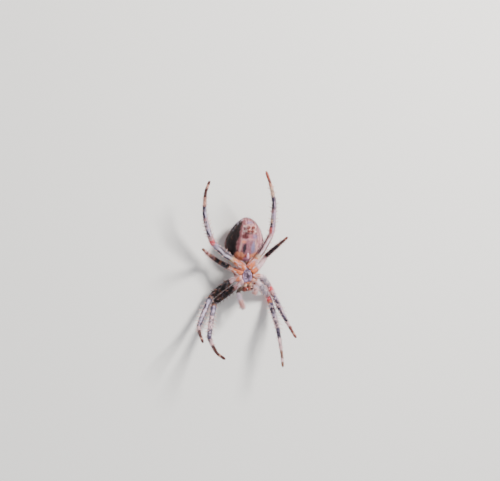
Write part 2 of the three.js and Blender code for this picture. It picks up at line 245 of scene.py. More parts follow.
def capped(rings):
    """Points and faces of a tube of rings (rows x sides x 3), closed by a point at each end."""
    rows, sides = rings.shape[:2]
    ends = [rings[0].mean(0), rings[-1].mean(0)]
    co = np.concatenate([rings.reshape(-1, 3), ends])
    j = np.arange(sides)
    k = (j + 1) % sides
    start = np.stack([np.full(sides, rows * sides), k, j], axis=1)
    last = (rows - 1) * sides
    end = np.stack([np.full(sides, rows * sides + 1), last + j, last + k], axis=1)
    return co, [grid_faces(rows, sides), np.concatenate([start, end])]


def remeshed(name, nodes, voxel, passes, depth):
    """One closed, rounded surface round some nodes, depth inside them: points, quads, normals."""
    co, tris, start = [], [], 0
    for node in nodes:
        solid = SOLIDS[node]
        co.append(solid.co)
        tris.append(solid.tris + start)
        start += len(solid.co)
    mesh = bpy.data.meshes.new(name + "_draft")
    mesh.from_pydata(np.concatenate(co).tolist(), [], np.concatenate(tris).tolist())
    draft = added(name + "_draft", mesh)
    tool = draft.modifiers.new("round", "REMESH")
    tool.mode = "VOXEL"
    tool.voxel_size = voxel
    rounded = draft.evaluated_get(bpy.context.evaluated_depsgraph_get())
    made = rounded.to_mesh()
    points = np.array([v.co[:] for v in made.vertices])
    quads = np.array([p.vertices[:] for p in made.polygons])
    rounded.to_mesh_clear()
    bpy.data.objects.remove(draft)
    bpy.data.meshes.remove(mesh)
    edges = np.concatenate([quads[:, pair] for pair in ([0, 1], [1, 2], [2, 3], [3, 0])])
    here, there = np.concatenate([edges, edges[:, ::-1]]).T
    count = np.bincount(here, minlength=len(points))[:, None]
    for _ in range(passes):
        total = np.stack([np.bincount(here, points[there, k], len(points)) for k in range(3)], 1)
        points = points * (1 - EVENING) + total / count * EVENING
    normals = point_normals(points, quads)
    return points - normals * depth, quads, normals


def point_normals(co, quads):
    across = np.cross(co[quads[:, 2]] - co[quads[:, 0]], co[quads[:, 3]] - co[quads[:, 1]])
    total = np.zeros_like(co)
    for corner in range(4):
        for k in range(3):
            total[:, k] += np.bincount(quads[:, corner], across[:, k], len(co))
    return unit(total)


def scattered(co, quads, normals, count, rng, density=None):
    """Points and normals at random places on a surface, as dense as density(normals) says."""
    a, b, c, d = (co[quads[:, i]] for i in range(4))
    area = np.linalg.norm(np.cross(c - a, d - b), axis=1) / 2
    if density is not None:
        area = area * density(normals[quads[:, 0]])
    face = rng.choice(len(quads), count, p=area / area.sum())
    s, t = rng.random((2, count, 1))
    weights = [(1 - s) * (1 - t), s * (1 - t), s * t, (1 - s) * t]
    place = sum(w * co[quads[face, i]] for i, w in enumerate(weights))
    normal = unit(sum(w * normals[quads[face, i]] for i, w in enumerate(weights)))
    return place, normal


# ---- hairs and spines ----
SHORTEST = 0.7  # a hair has this share of the length asked for,
LONGER = 0.6  # and at random up to this share more
UNEVEN = 8  # degrees by which its lift varies
TAPER = 0.55  # share of the width that it loses towards the tip
ROOT_DEPTH = 0.03  # how far its root lies inside the skin
FLOOR_GAP = 0.01  # no part of it comes nearer to the floor
PATCH = 0.003  # side of its patch in the UV square


class Coat:
    """Hairs of one piece: closed curved spikes, gathered and then made as one mesh."""

    def __init__(self, name, slot, sides=3, rings=2):
        self.name, self.slot, self.sides, self.rings = name, slot, sides, rings
        self.co, self.tint, self.uv = [], [], []
        self.size = sides * rings + 1
        turn = np.arange(sides) / sides
        u = [0.5 + (turn - 0.5) * (1 - 0.6 * k / rings) for k in range(rings)]
        v = np.repeat(np.arange(rings + 1) / rings, [sides] * rings + [1])
        self.patch = np.stack([np.concatenate(u + [[0.5]]), v], axis=1) * PATCH

    def add(self, root, normal, flow, length, width, lift, curl, tint, uv, rng, spread=0.25):
        """Hairs that lift (degrees) from the skin towards flow; curl bends them back along it."""
        n = len(root)
        length = np.broadcast_to(length, n)[:, None] * (SHORTEST + LONGER * rng.random((n, 1)))
        width = np.broadcast_to(width, n)[:, None]
        lift = np.radians(np.broadcast_to(lift, n)[:, None] + rng.normal(0, UNEVEN, (n, 1)))
        flow = unit(flow - normal * (flow * normal).sum(1, keepdims=True))
        flow = unit(flow + np.cross(normal, flow) * rng.normal(0, spread, (n, 1)))
        way = normal * np.sin(lift) + flow * np.cos(lift)
        bend = flow * curl - normal * curl * 0.4
        side = unit(np.cross(way, normal + 0.01))
        up = np.cross(side, way)
        points = []
        for k in range(self.rings):
            t = k / self.rings
            centre = root + (way * t + bend * t * t * 0.5) * length
            centre = centre - normal * (ROOT_DEPTH if k == 0 else 0)
            for turn in np.arange(self.sides) / self.sides * TURN:
                spoke = side * math.cos(turn) + up * math.sin(turn)
                points.append(centre + spoke * width * 0.5 * (1 - TAPER * t))
        points.append(root + (way + bend * 0.5) * length)
        co = np.stack(points, axis=1)
        co[..., 2] = np.maximum(co[..., 2], FLOOR_GAP)
        self.co.append(co)
        self.tint.append(np.repeat(tint[:, None], self.size, axis=1))
        self.uv.append(uv[:, None] * (1 - PATCH) + self.patch[None])

    def make(self, material):
        co = np.concatenate(self.co)
        tint = np.concatenate(self.tint).reshape(-1, 3)
        uv = np.concatenate(self.uv).reshape(-1, 2)
        starts = np.arange(len(co))[:, None, None] * self.size
        k = np.arange(self.sides)
        last = (self.rings - 1) * self.sides
        tip = np.full(self.sides, last + self.sides)
        tips = np.stack([last + k, last + (k + 1) % self.sides, tip], axis=1)
        fan = np.stack([np.zeros(self.sides - 2, int), k[2:], k[1:-1]], axis=1)
        quads = (grid_faces(self.rings, self.sides)[None] + starts).reshape(-1, 4)
        tris = (np.concatenate([fan, tips])[None] + starts).reshape(-1, 3)
        piece = make_mesh(self.name, co.reshape(-1, 3), [quads, tris], tint, material)
        layer = piece.data.uv_layers.new(name="OFBake")
        index = np.concatenate([quads.ravel(), tris.ravel()])
        layer.data.foreach_set("uv", uv[index].astype(np.float32).ravel())


# ---- legs and palps as tubes ----
SLICES = np.linspace(0.06, 0.94, 12)  # shares of a solid's length where it is sliced
TIP, JOINT, ROOT = 0.75, 0.96, 0.8  # radius there, as a share of the nearest slice's
PINCH = 0.13  # share by which a limb is thinner in the fold of a joint
FOLD = 0.035  # half width of that fold, in u
ROUND_TIP = [0.95, 0.8, 0.5]  # shares of the radius in the last rings
RELIEF = 0.025  # height of a limb skin's unevenness


def softened(values, reach, **pad):
    """Values along a limb, each averaged with reach neighbours on both sides."""
    kernel = np.hanning(2 * reach + 1)
    return np.convolve(np.pad(values, reach, **pad), kernel / kernel.sum(), "valid")


class Limb:
    """A limb's run of rings, read from its solids; u counts segments from the body outward.

    breaks gives, for each solid, shares of its length and the u that each of them has.
    """

    def __init__(self, name, nodes, breaks, tint, rows, sides, fullness):
        parts = [SOLIDS[n] for n in nodes]
        joints = [meeting(a, b) for a, b in zip(parts, parts[1:])]
        joints = [far_end(parts[0], joints[0]), *joints, far_end(parts[-1], joints[-1])]
        self.name, self.tint, self.sides = name, tint, sides
        u, points, radii = [0], [joints[0]], [None]
        for k, part in enumerate(parts):
            a, b = joints[k], joints[k + 1]
            way = unit(b - a)
            for t in SLICES:
                try:
                    middle, radius = part.section(a + (b - a) * t, way)
                except ValueError:  # past a slanted end there is nothing to slice
                    continue
                u.append(np.interp(t, breaks[k][0], breaks[k][1]))
                points.append(middle)
                radii.append(radius)
            u.append(breaks[k][1][-1])
            points.append(b)
            radii.append(radii[-1] * (TIP if k + 1 == len(parts) else JOINT))
        radii[0] = radii[1] * ROOT
        u, points, radii = np.array(u), np.array(points), np.array(radii)
        steps = np.linalg.norm(np.diff(points, axis=0), axis=1)
        length = np.concatenate([[0], np.cumsum(steps)])
        at = np.linspace(0, length[-1], rows)
        self.length = length[-1]
        self.u = np.interp(at, length, u)
        spine = [np.interp(at, length, points[:, k]) for k in range(3)]
        odd = {"mode": "reflect", "reflect_type": "odd"}
        self.spine = np.stack([softened(line, 5, **odd) for line in spine], axis=1)
        radius = softened(np.interp(at, length, radii), 4, mode="edge")
        pinch = sum(ridge(self.u - j, FOLD) for j in range(1, int(u[-1])))
        self.radius = radius * fullness * (1 - PINCH * pinch)
        self.radius[-3:] *= ROUND_TIP
        self.tangent = unit(np.gradient(self.spine, axis=0))
        up = np.array([0.0, 0.0, 1.0])
        frames = []
        for way in self.tangent:
            up = unit(up - way * (up @ way))
            frames.append(up)
        self.up = np.array(frames)
        self.side = np.cross(self.tangent, self.up)

    def ring(self, row, angle):
        """Points of the skin, outward normals, ways to the tip and u; row may be fractional."""
        i = np.clip(np.floor(row).astype(int), 0, len(self.u) - 2)
        f = (row - i)[..., None]

        def at(values):
            return values[i] * (1 - f) + values[i + 1] * f

        up, side = at(self.up), at(self.side)
        out = unit(up * np.cos(angle)[..., None] + side * np.sin(angle)[..., None])
        place = at(self.spine) + out * at(self.radius[:, None])
        return place, out, unit(at(self.tangent)), at(self.u[:, None])[..., 0]

    def uv(self, row, angle):
        return np.stack([angle / TURN % 1, row / len(self.u)], axis=1)

    def skin(self, material, slot):
        rows = np.arange(len(self.u), dtype=float)
        row, angle = np.meshgrid(rows, np.arange(self.sides) / self.sides * TURN, indexing="ij")
        co, out, _, u = self.ring(row, angle)
        co = co + out * ((fractal(co, 0.5, 3) - 0.5) * RELIEF * 2)[..., None]
        colours = self.tint(u.ravel(), angle.ravel(), co.reshape(-1, 3))
        points, faces = capped(co)
        colours = np.concatenate([colours, colours[[0, -1]]])
        return make_mesh(f"skin_{self.name}", points, faces, colours, material)

    def roots(self, count, rng, start=0.0, end=math.inf, angles=None):
        """Random places between two values of u, at any angle or near the given ones.

        Returns places, outward normals, ways to the tip, u, UVs and the skin's colours there.
        """
        inside = np.flatnonzero((self.u >= start) & (self.u <= end))
        low, high = inside[0], inside[-1]
        weight = self.radius[low:high]
        row = rng.choice(np.arange(low, high), count, p=weight / weight.sum())
        row = row + rng.random(count)
        if angles is None:
            angle = rng.random(count) * TURN
        else:
            angle = rng.choice(angles, count) + rng.normal(0, 0.2, count)
        place, out, way, u = self.ring(row, angle)
        return place, out, way, u, self.uv(row, angle), self.tint(u, angle, place)


# ---- markings ----
# Rings of each leg: the u where each stretch ends and its colour.  u is 0-1 on the coxa, 1-2
# on the femur, 2-3 on the patella, 3-4 on the tibia, 4-5 on the metatarsus, 5-6 on the tarsus.
RINGS = {
    "leg_1_right": {
        0.7: APRICOT, 1.12: CREAM, 1.75: ASH, 2.0: ROSE, 2.56: CORAL, 2.78: APRICOT, 3.12: SLATE,
        3.34: PLUM, 3.6: LILAC, 4.02: CREAM, 4.2: SLATE, 4.34: PLUM, 4.84: CREAM, 5.3: TAWNY,
        5.6: CREAM, 6.1: TAWNY,
    },
    "leg_2_right": {
        0.9: APRICOT, 1.12: CREAM, 1.8: ASH, 1.98: ROSE, 2.52: CORAL, 3.02: PINK, 3.3: SLATE,
        3.66: CREAM, 3.78: LILAC, 3.94: CREAM, 4.1: LILAC, 4.24: SLATE, 4.4: PLUM, 4.76: CREAM,
        5.38: CINNAMON, 5.7: PEACH, 6.1: CINNAMON,
    },
    "leg_3_right": {
        0.8: ORANGE, 1.88: CREAM, 2.15: RUST, 2.4: UMBER, 2.8: DARK, 3.1: UMBER, 4.2: DARK,
        4.55: TAWNY, 5.14: UMBER, 5.4: CINNAMON, 5.74: PEACH, 6.1: CINNAMON,
    },
    "leg_4_right": {
        0.98: ORANGE, 1.14: STRAW, 2.06: PINK, 2.74: SALMON, 3.12: PLUM, 3.3: IVORY, 3.55: LILAC,
        3.8: PINK, 4.32: PLUM, 4.74: IVORY, 4.94: PEACH, 5.2: CINNAMON, 6.1: RUST,
    },
    # painted shade: the SOOT femurs of the left legs I and II stand for the shadow they lie in;
    # the right femurs are ASH
    "leg_1_left": {
        0.9: PINK, 1.14: ROSE, 2.18: SOOT, 2.42: TAWNY, 2.7: SLATE, 3.15: LILAC, 3.7: CREAM,
        3.95: LILAC, 4.12: SLATE, 4.22: PLUM, 4.5: CREAM, 5.36: UMBER, 5.5: PEACH, 6.1: UMBER,
    },
    "leg_2_left": {
        0.8: ORANGE, 1.12: PINK, 2.0: SOOT, 2.26: TAWNY, 2.5: PLUM, 3.12: LILAC, 3.6: CREAM,
        4.0: SLATE, 4.16: PLUM, 4.54: CREAM, 5.5: UMBER, 5.64: PEACH, 6.1: UMBER,
    },
    "leg_3_left": {
        1.0: ORANGE, 1.3: PEACH, 1.74: DARK, 1.86: TAN, 2.72: SOOT, 3.05: UMBER, 3.3: TAWNY,
        3.6: UMBER, 4.0: TAWNY, 4.4: ROSE, 4.95: CINNAMON, 5.55: ROSE, 6.1: TAWNY,
    },
    "leg_4_left": {
        1.02: ORANGE, 1.16: STRAW, 1.92: LILAC, 2.42: CORAL, 2.95: PINK, 3.16: PLUM, 3.3: LILAC,
        3.66: CREAM, 3.86: ROSE, 4.36: PLUM, 4.7: PEACH, 5.32: UMBER, 5.68: PEACH, 6.1: UMBER,
    },
}
RING_EDGE = 0.035  # half width in u of the change from one ring to the next
# painted shade: the femurs of these legs are made near black, with dark hairs and spines, for the
# shadow they lie in; the right femurs stay pale
SHADED_THIGHS = ("leg_1_left", "leg_2_left")
# legs with a pale line along the shin's face turned up to the light, partly a stripe of their own
# and partly painted highlight, between dark sides that are partly painted shade: its start and end
# in u, its angle, and where the dark sides beside it start
SHIN_STRIPES_AND_HIGHLIGHTS = {
    "leg_1_left": (2.4, 3.1, 0.2, 2.3),
    "leg_2_left": (2.42, 4.12, 0.1, 2.3),
    "leg_2_right": (2.6, 4.3, -0.15, 3.6),
    "leg_4_right": (2.1, 4.3, 0.3, 3.8),
    "leg_4_left": (2.9, 4.3, 0.1, 3.8),
}


def ringed(u, rings):
    ends, shades = list(rings), list(rings.values())
    colour = plain(shades[0], u)
    for start, shade in zip(ends, shades[1:]):
        colour = mix(colour, shade, smooth(start - RING_EDGE, start + RING_EDGE, u))
    return colour


def specked(colour, side, femur, p, seed):
    """Specks on the femurs of legs I and II: brown on the left, dark and pale on the right."""
    specks = fractal(p, 0.34, seed + 20)
    if side == "left":
        return mix(colour, (112, 74, 44), femur * smooth(0.56, 0.7, specks) * 0.8)
    dark = smooth(0.45, 0.62, specks)
    return layered(
        colour,
        ((80, 66, 70), femur * dark * 0.7),
        ((228, 216, 218), femur * (1 - dark) * 0.55),
    )


def mottled(colour, leg, femur, u, p, seed):
    """A dark mottle; small dark, pale and pink spots too where the leg has them."""
    shin = band(u, 2.9, 4.1, 0.1)
    knee = band(u, 2.0, 2.6, 0.1)
    mottle = patches(p, 0.5, seed + 40, 0.5, 0.62) * (1 - knee) * (0.45 * shin + 0.2)
    colour = mix(colour, (88, 68, 80), mottle * (1 if leg.endswith("right") else 0.8))
    if leg.startswith("leg_3"):
        return colour
    dots = patches(p, 0.3, seed + 41, 0.48, 0.55) * (shin + 0.4 * band(u, 4.1, 4.7, 0.05))
    # the brown feet have no pale spots
    pale = patches(p, 0.36, seed + 50, 0.55, 0.68) * smooth(4.5, 4.1, u)
    pale = pale * (1 - band(u, 1.95, 2.75, 0.1)) * (1 - 0.7 * band(u, 3.75, 4.25, 0.05))
    colour = layered(
        colour,
        ((54, 46, 66), dots * 0.85),
        ((238, 224, 226), pale * 0.6 * (1 - femur * 0.7)),
    )
    if leg in SHADED_THIGHS:
        return colour
    pinkish = patches(p, 0.3, seed + 52, 0.52, 0.6) * band(u, 1.95, 2.6, 0.1)
    return mix(colour, (240, 186, 190), pinkish * 0.6)


def shin_stripe_and_highlight(colour, leg, u, angle, p, seed):
    """A broken pale line along the shin, partly a stripe and partly painted highlight, between
    sides darkened partly as painted shade.
    """
    start, end, middle, dark_start = SHIN_STRIPES_AND_HIGHLIGHTS[leg]
    facing = np.cos(angle - middle + 0.8 * (noise(p, 0.9, seed + 80) - 0.5))
    # the line partly painted highlight on the face turned up, the sides partly painted shade
    line = smooth(0.86, 0.95, facing) * band(u, start, end, 0.1)
    line = line * (0.3 + 0.7 * patches(p, 0.5, seed + 82, 0.4, 0.55))
    sides = smooth(0.86, 0.6, facing) * band(u, dark_start, end, 0.1)
    dark = 0.2 + 0.7 * patches(p, 0.5, seed + 44, 0.36, 0.52)
    light = (222, 212, 226) if leg.endswith("left") else (212, 190, 204)
    return layered(colour, ((66, 54, 78), sides * dark), (light, line * 0.85))


def wavy_thigh(colour, side, u, angle, p, seed):
    """Dark and pale waves round the femur of legs IV."""
    end, low = (1.9, 0.2) if side == "right" else (1.75, -0.3)
    thigh = band(u, 1.15, end, 0.1)
    ragged = 0.7 * (noise(p, 0.8, seed + 70) - 0.5)
    wave = np.sin(3 * angle + ragged * 3 + seed)
    return layered(
        colour,
        ((64, 42, 50), thigh * smooth(low, low + 0.5, -wave) * 0.9),
        ((246, 230, 234), thigh * smooth(0.35, 0.8, wave) * 0.85),
    )


def leg_tint(leg):
    number, side = int(leg[4]), leg[6:]
    seed = number * 2 + (side == "left")

    def tint(u, angle, p):
        wobble = (noise(p, 0.5, seed) - 0.5) * 0.14 + (noise(p, 0.16, seed + 5) - 0.5) * 0.08
        colour = ringed(u + wobble, RINGS[leg])
        femur = band(u, 1.08, 1.9, 0.05)
        if number < 3:
            colour = specked(colour, side, femur, p, seed)
        colour = mottled(colour, leg, femur, u, p, seed)
        if leg in SHIN_STRIPES_AND_HIGHLIGHTS:
            colour = shin_stripe_and_highlight(colour, leg, u, angle, p, seed)
        if number == 4:
            colour = wavy_thigh(colour, side, u, angle, p, seed)
        return grained(colour, p, 0.12, seed + 60, 0.7, 0.44)

    return tint


def palp_tint(side):
    """A palp's colours; the left one is brown at its root, with a dark ring, painted as shade."""
    left = side == "left"

    def tint(u, angle, p):
        colour = layered(
            # painted shade: the left palp's brown root and near black ring; the right one's root
            # is pink
            plain((130, 114, 98) if left else PINK, u),
            ((40, 30, 25), band(u, 0.9, 1.25, 0.1) * 0.95 * left),
            ((218, 208, 210), smooth(1.15, 1.35, u)),
            ((226, 176, 156), smooth(1.95, 2.2, u)),
            ((238, 222, 214), patches(p, 0.3, 8, 0.55, 0.68) * 0.6 * (u > 1.2)),
        )
        return grained(colour, p, 0.15, 7, 0.8, 0.4)

    return tint


CENTRE = np.array([1.172, -1.05, 5.2])  # middle of the breastplate's face
WAIST = (0.0, 2.75)  # where the abdomen turns, from that middle
HEAD_TURN = math.radians(6)  # the front body's turn about its own middle
TAIL_TURN = math.radians(-3)  # the abdomen's turn about the waist


def spun(q, turn, about):
    """Places turned about a point of the plane x, y."""
    c, s = math.cos(turn), math.sin(turn)
    x, y = q[..., 0] - about[0], q[..., 1] - about[1]
    return np.stack([x * c + y * s + about[0], y * c - x * s + about[1], q[..., 2]], axis=-1)


def turned(p, turn, about=(0.0, 0.0)):
    """Points as seen from the body's own axes: x to its right, y to its tail, z to its belly."""
    return spun(p - CENTRE, turn, about)


def placed(q, turn, about):
    """The model's points of places given in the body's own axes."""
    return spun(q, -turn, about) + CENTRE


def blot(x, y, cx, cy, rx, ry, soft=0.35):
    """1 inside an ellipse, fading out at its rim."""
    d = np.hypot((x - cx) / rx, (y - cy) / ry)
    return 1 - smooth(1 - soft, 1 + soft, d)


def light_spots(x, y):
    """Two pairs of light spots beside the spinnerets."""
    side = np.abs(x)
    hind = blot(side, y, 1.02, 9.15, 0.24, 0.2, 0.6)
    return np.maximum(hind, blot(side, y, 1.06, 8.3, 0.26, 0.2, 0.6))


def belly_sides(colour, p, x, y, lines, back):
    """The left flank near black as painted shade, over its own brown mottle, with a maroon edge
    and a pale line beside it; the pink right side lightened as painted light.
    """
    edge = -2.25 + 0.22 * np.maximum(y - 6, 0) + 0.1 * np.sin(y * 2.1)
    edge = edge + 0.5 * (noise(p, 0.9, 9) - 0.5)
    edge = edge + 0.5 * (fractal(p, 0.5, 29) - 0.5)
    flank = smooth(0.3, -0.3, x - edge) * (1 - back * 0.6) * smooth(10.9, 10.2, y)
    maroon = smooth(0.3, 0.0, np.abs(x - edge - 0.15)) * (1 - back)
    beside = smooth(0.3, 0.0, np.abs(x - edge - 0.5)) * (1 - back)
    return layered(
        colour,
        # painted shade: the left flank made near black; the brown mottle next is its own colour
        ((16, 10, 12), flank * 0.97),
        ((92, 54, 38), flank * patches(p, 0.45, 10, 0.6, 0.72) * 0.8),
        ((104, 44, 52), maroon * 0.25),
        ((204, 160, 160), beside * 0.5 * lines),
        # painted light: the right side lighter pink towards its rim, where light falls
        ((230, 186, 188), smooth(1.2, 2.4, x) * (1 - back) * (0.25 + 0.35 * lines)),
    )


def belly_field(colour, p, x, y, ragged, front, belly):
    """The middle field between the furrow and the spinnerets, with its blots and commas."""
    field = band(front, 4.3, 7.2, 0.25) * belly
    wavy = x + ragged
    comma = ridge(np.abs(x + ragged * 0.6) - 1.3 - 0.25 * np.cos((y - 4.6) * 0.9), 0.2)
    comma = comma * band(y, 4.4, 6.9, 0.3) * 0.7
    broken = 0.35 + 0.65 * patches(p, 0.35, 15, 0.35, 0.6)
    across = ridge(y - 6.7 + ragged, 0.22) * smooth(1.4, 0.9, np.abs(x))
    return layered(
        colour,
        ((158, 112, 120), field * smooth(1.5, 1.0, np.abs(wavy)) * 0.8),
        ((34, 28, 42), blot(wavy, y, -0.78, 5.0, 0.36, 1.05, 0.5) * 0.92 * belly),
        ((140, 138, 162), blot(wavy, y, 0.98, 5.25, 0.5, 1.15, 0.5) * 0.85 * belly),
        # painted sheen: the right spot of a dark pair is pale blue-grey as if lit; its left
        # partner is the dark red blot at the end
        ((136, 128, 156), blot(wavy, y, 0.98, 7.25, 0.6, 0.5, 0.5) * 0.7 * belly),
        ((222, 184, 168), comma * broken * belly),
        ((220, 138, 108), blot(wavy, y, -1.08, 6.25, 0.42, 0.26, 0.6) * 0.95 * belly),
        ((190, 118, 122), blot(wavy, y, 0.15, 7.2, 0.5, 0.4, 0.6) * 0.6 * belly),
        ((226, 170, 168), across * 0.5 * belly),
        ((98, 36, 38), blot(wavy, y, -0.95, 7.25, 0.6, 0.46, 0.45) * 0.95 * belly),
    )


def belly_ends(colour, p, x, y, z, ragged, front, belly):
    """Pale blotches at the tail's rim, plates before the furrow, spots round the spinnerets."""
    rim = band(z + ragged, -2.6, -0.9, 0.4) * smooth(8.0, 9.0, y)
    plates = smooth(4.25, 3.9, front) * (z > -2.6) * smooth(2.5, 1.9, np.abs(x + ragged * 2))
    between = plates * smooth(0.85, 0.4, np.abs(x)) * smooth(3.5, 3.1, y)
    return layered(
        colour,
        ((226, 216, 226), rim * patches(p, 0.4, 25, 0.48, 0.66) * 0.75),
        ((212, 146, 102), plates * (0.45 + 0.55 * fractal(p, 0.5, 11))),
        ((184, 104, 92), plates * smooth(0.7, 0.2, np.abs(x)) * 0.8),
        ((206, 166, 184), between * 0.9),
        ((250, 214, 200), light_spots(x + ragged * 0.3, y) * 0.85 * belly),
        ((160, 144, 174), blot(x, y, 0.1, 9.85, 0.6, 0.4, 0.6) * 0.6 * belly),
    )


def abdomen_tint(p):
    x, y, z = turned(p, TAIL_TURN, WAIST).T
    ragged = 0.3 * (noise(p, 0.5, 13) - 0.5)
    grains = patches(p, 0.22, 5, 0.5, 0.72)
    # mauve brown with pale grainy lines that run together toward the tail
    narrow = np.sqrt(np.clip(1 - ((y - 5.6) / 6.2) ** 2, 0.05, 1))
    lines = 0.5 + 0.5 * np.sin(x / narrow * 7.5 + 2.2 * (noise(p, 1.1, 4) - 0.5) + 1.2)
    back = smooth(-1.7, -3.4, z + 1.2 * (noise(p, 0.7, 19) - 0.5))
    belly = 1 - smooth(-1.4, -2.2, z)
    front = y + 0.3 * np.cos(x * 1.7) + ragged
    pale = 0.75 * lines**2 * patches(p, 0.4, 6, 0.35, 0.6) + 0.3 * grains
    colour = mix(plain((146, 92, 92), p), (216, 166, 156), pale)
    colour = mix(colour, (92, 54, 60), patches(p, 0.7, 18, 0.55, 0.7) * 0.4)
    colour = colour * (1 - back[:, None]) + back_tint(p, x, y, grains) * back[:, None]
    colour = belly_sides(colour, p, x, y, lines, back)
    colour = belly_field(colour, p, x, y, ragged, front, belly)
    colour = belly_ends(colour, p, x, y, z, ragged, front, belly)
    return grained(colour, p, 0.16, 12, 0.76, 0.48)


# white spots of the back's cross and tail rows: x, y, half width, half length
CROSS = [
    (0, 3.3, 0.1, 0.28), (0, 4.15, 0.16, 0.5), (0, 5.0, 0.13, 0.32), (0, 5.65, 0.1, 0.24),
    (0.42, 4.62, 0.24, 0.13), (0.95, 4.52, 0.26, 0.13), (1.4, 4.3, 0.13, 0.1),
    (0.5, 6.6, 0.1, 0.13), (0.62, 7.4, 0.09, 0.12), (0.58, 8.2, 0.08, 0.11), (0.5, 8.9, 0.07, 0.1),
]


def back_tint(p, x, y, grains):
    """The back: ginger brown, a dark scalloped leaf mark with a pale rim, and the white cross."""
    side = np.abs(x)
    width = 2.5 - 0.24 * np.clip(y - 4, 0, 9) + 0.22 * np.abs(np.sin(y * 1.9))
    width = (width + 0.2 * (noise(p, 0.4, 23) - 0.5)) * smooth(2.2, 3.6, y)
    spots = np.maximum.reduce([blot(side, y, *spot, 0.4) for spot in CROSS])
    return layered(
        plain((160, 104, 62), p),
        ((96, 58, 38), patches(p, 0.6, 22, 0.45, 0.65) * 0.6),
        ((66, 38, 27), smooth(0.12, -0.12, side - width) * 0.85),
        ((210, 172, 128), ridge(side - width - 0.1, 0.12) * 0.55),
        ((186, 138, 96), 0.35 * grains),
        (WHITE, spots * (0.75 + 0.25 * grains)),
    )


def carapace_tint(p):
    x, y = turned(p, HEAD_TURN).T[:2]
    side = np.abs(x)
    colour = layered(
        plain((132, 84, 54), p),
        ((58, 34, 26), smooth(0.5, 0.2, side) * smooth(-1.4, -0.4, y) * 0.8),
        ((52, 32, 26), smooth(1.35, 1.75, side) * 0.8),
        ((176, 128, 84), blot(side, y, 0.95, 0.0, 0.35, 1.6) * 0.6),
        ((44, 28, 24), smooth(-2.55, -2.95, y) * 0.6),
    )
    return grained(colour, p, 0.2, 14, 0.8, 0.4)


def sternum_tint(p):
    x, y = turned(p, HEAD_TURN).T[:2]
    return layered(
        plain((84, 62, 78), p),
        ((172, 152, 182), smooth(0.45, 1.0, np.hypot(x, (y - 0.1) / 1.4)) * 0.85),
        ((180, 162, 196), smooth(-0.7, -1.3, y) * 0.7),
        ((206, 180, 196), patches(p, 0.3, 16, 0.56, 0.66) * 0.7),
        ((50, 34, 46), patches(p, 0.34, 17, 0.55, 0.66) * 0.75),
    )


CONES = [(0.36, 8.36), (0.49, 9.03)]  # middles of the spinnerets' cones, right side


def spinneret_tint(p):
    x, y = turned(p, TAIL_TURN, WAIST).T[:2]
    colour = plain((176, 132, 136), p)
    for cx, cy in CONES:
        d = np.hypot(np.abs(x) - cx, y - cy)
        colour = layered(
            colour,
            ((182, 110, 90), smooth(0.44, 0.34, d) * 0.9),
            ((240, 190, 168), ridge(d - 0.44, 0.08) * 0.75),
            ((104, 52, 44), smooth(0.2, 0.1, d) * 0.8),
        )
    colour = layered(
        colour,
        ((226, 176, 160), smooth(0.9, 1.1, np.hypot(x, y - 8.72)) * 0.5),
        ((250, 214, 200), light_spots(x, y) * 0.85),
    )
    return grained(colour, p, 0.14, 36, 0.8, 0.4)


def jaw_tint(p):
    x, _, z = turned(p, HEAD_TURN).T
    colour = layered(
        plain((204, 112, 86), p),
        ((84, 42, 30), smooth(-0.5, -2.0, z) * 0.85),
        ((82, 32, 26), smooth(-0.12, 0.12, z) * 0.5),
        ((236, 190, 164), smooth(0.05, 0.25, x) * smooth(-1.5, -0.4, z) * 0.9),
        ((104, 46, 34), patches(p, 0.45, 33, 0.5, 0.68) * 0.6),
    )
    return grained(colour, p, 0.12, 34, 0.85, 0.3)


def lip_tint(p):
    """Lip and maxillae: brown at the root, pale yellow at the free end."""
    x, y = turned(p, HEAD_TURN).T[:2]
    colour = layered(
        plain((172, 96, 54), p),
        ((236, 196, 132), smooth(-1.55, -1.8, y) * 0.9),
        ((96, 48, 34), blot(np.abs(x), y, 0.78, -1.68, 0.2, 0.16) * 0.9),
    )
    return grained(colour, p, 0.12, 35, 0.85, 0.3)


def epigynum_tint(p):
    dark = patches(p, 0.3, 34, 0.42, 0.68) * 0.7
    return grained(mix(plain((196, 112, 104), p), (140, 76, 70), dark), p, 0.12, 35, 0.85, 0.3)


# ---- materials ----
SPECK = 0.09  # size of the grain
FLESH = 0.3  # how far light spreads under the skin
FLESH_RED = (1.0, 0.5, 0.35)  # and in what shares of red, green and blue


def surface(name, roughness, grain=0.0, bump=0.0, coat=0.0, specular=0.5, subsurface=0.0):
    """The mesh's own colours, with a fine grain and a relief bump high where grain is given."""
    material = bpy.data.materials.new(name)
    material.use_nodes = True
    nodes, links = material.node_tree.nodes, material.node_tree.links
    shader = dial(
        nodes["Principled BSDF"],
        Roughness=roughness, Coat_Weight=coat, Coat_Roughness=0.15,
        Specular_IOR_Level=specular,
        Subsurface_Weight=subsurface, Subsurface_Scale=FLESH * MM, Subsurface_Radius=FLESH_RED,
    )
    colour = nodes.new("ShaderNodeVertexColor")
    colour.layer_name = TINT
    if not grain:
        links.new(colour.outputs["Color"], shader.inputs["Base Color"])
        return material
    where = nodes.new("ShaderNodeTexCoord")
    speck = dial(nodes.new("ShaderNodeTexNoise"), Scale=1 / (SPECK * MM), Detail=3)
    spread = dial(nodes.new("ShaderNodeMapRange"), From_Min=0.3, From_Max=0.7)
    dial(spread, To_Min=1 - grain, To_Max=1 + grain)
    scale = nodes.new("ShaderNodeVectorMath")
    scale.operation = "SCALE"
    relief = dial(nodes.new("ShaderNodeBump"), Distance=bump * MM, Strength=1.0)
    for source, result, target, socket in (
        (where, "Object", speck, "Vector"),
        (speck, "Fac", spread, "Value"),
        (colour, "Color", scale, 0),
        (spread, "Result", scale, "Scale"),
        (scale, "Vector", shader, "Base Color"),
        (speck, "Fac", relief, "Height"),
        (relief, "Normal", shader, "Normal"),
    ):
        links.new(source.outputs[result], target.inputs[socket])
    return material


